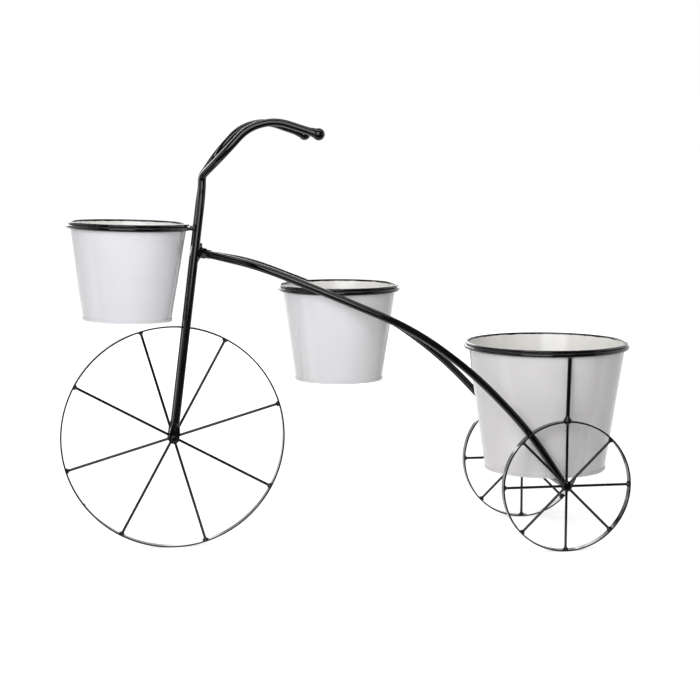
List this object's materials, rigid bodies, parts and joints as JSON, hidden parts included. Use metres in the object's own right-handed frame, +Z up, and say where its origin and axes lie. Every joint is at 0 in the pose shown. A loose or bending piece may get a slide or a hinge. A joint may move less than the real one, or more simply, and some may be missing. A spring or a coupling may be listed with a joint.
{
  "type": "bicycle plant stand",
  "caption": "Bent-tube plant stand shaped like a tricycle, with lift-out tapered metal pots seated in wire rings and a free-turning front wheel.",
  "frame": {"origin": "on the floor, below the middle of the stand's length and width", "axes": "+X from the front wheel to the rear wheels, +Y across to the right-hand side of the rear axle, +Z up"},
  "size_m": [0.7352, 0.219, 0.5408],
  "materials": {
    "frame_black": "gloss",
    "fastener_black": "gloss",
    "grip_black": "gloss",
    "pot_white": "gloss enamel"
  },
  "bodies": {
    "frame": {"fork_tube_left": "frame_black", "fork_tube_right": "frame_black", "grip_left": "grip_black", "grip_right": "grip_black", "neck_weld": "frame_black", "front_axle": "fastener_black", "head_sleeve": "frame_black", "head_bolt": "fastener_black", "head_washer": "fastener_black", "head_nut": "fastener_black", "head_boss": "frame_black", "frame_tube_left": "frame_black", "frame_tube_right": "frame_black", "front_ring": "frame_black", "front_ring_stubs": "frame_black", "mid_ring": "frame_black", "rear_ring": "frame_black", "rear_strut_left": "frame_black", "rear_strut_right": "frame_black", "rear_axle": "frame_black", "rear_hub_left": "frame_black", "rear_hub_right": "frame_black", "rear_rim_left": "frame_black", "rear_rim_right": "frame_black", "rear_spokes_left": "frame_black", "rear_spokes_right": "frame_black"},
    "front_wheel": {"front_rim": "frame_black", "front_spokes": "frame_black", "front_hub": "frame_black"},
    "front_pot": {"front_pot_wall": "pot_white", "front_pot_base": "pot_white"},
    "mid_pot": {"mid_pot_wall": "pot_white", "mid_pot_base": "pot_white"},
    "rear_pot": {"rear_pot_wall": "pot_white", "rear_pot_base": "pot_white"}
  },
  "joints": [
    {"name": "front_wheel_spin", "type": "hinge", "parent": "frame", "child": "front_wheel", "pos_m": [-0.22612, 0, 0.1415], "axis": [0, 1, 0], "continuous": true},
    {"name": "front_pot_lift", "type": "slide", "parent": "frame", "child": "front_pot", "axis": [0.0262, 0, 0.9997], "range_m": [0, 0.15]},
    {"name": "mid_pot_lift", "type": "slide", "parent": "frame", "child": "mid_pot", "axis": [0, 0, 1], "range_m": [0, 0.15]},
    {"name": "rear_pot_lift", "type": "slide", "parent": "frame", "child": "rear_pot", "axis": [0, 0, 1], "range_m": [0, 0.2]}
  ]
}
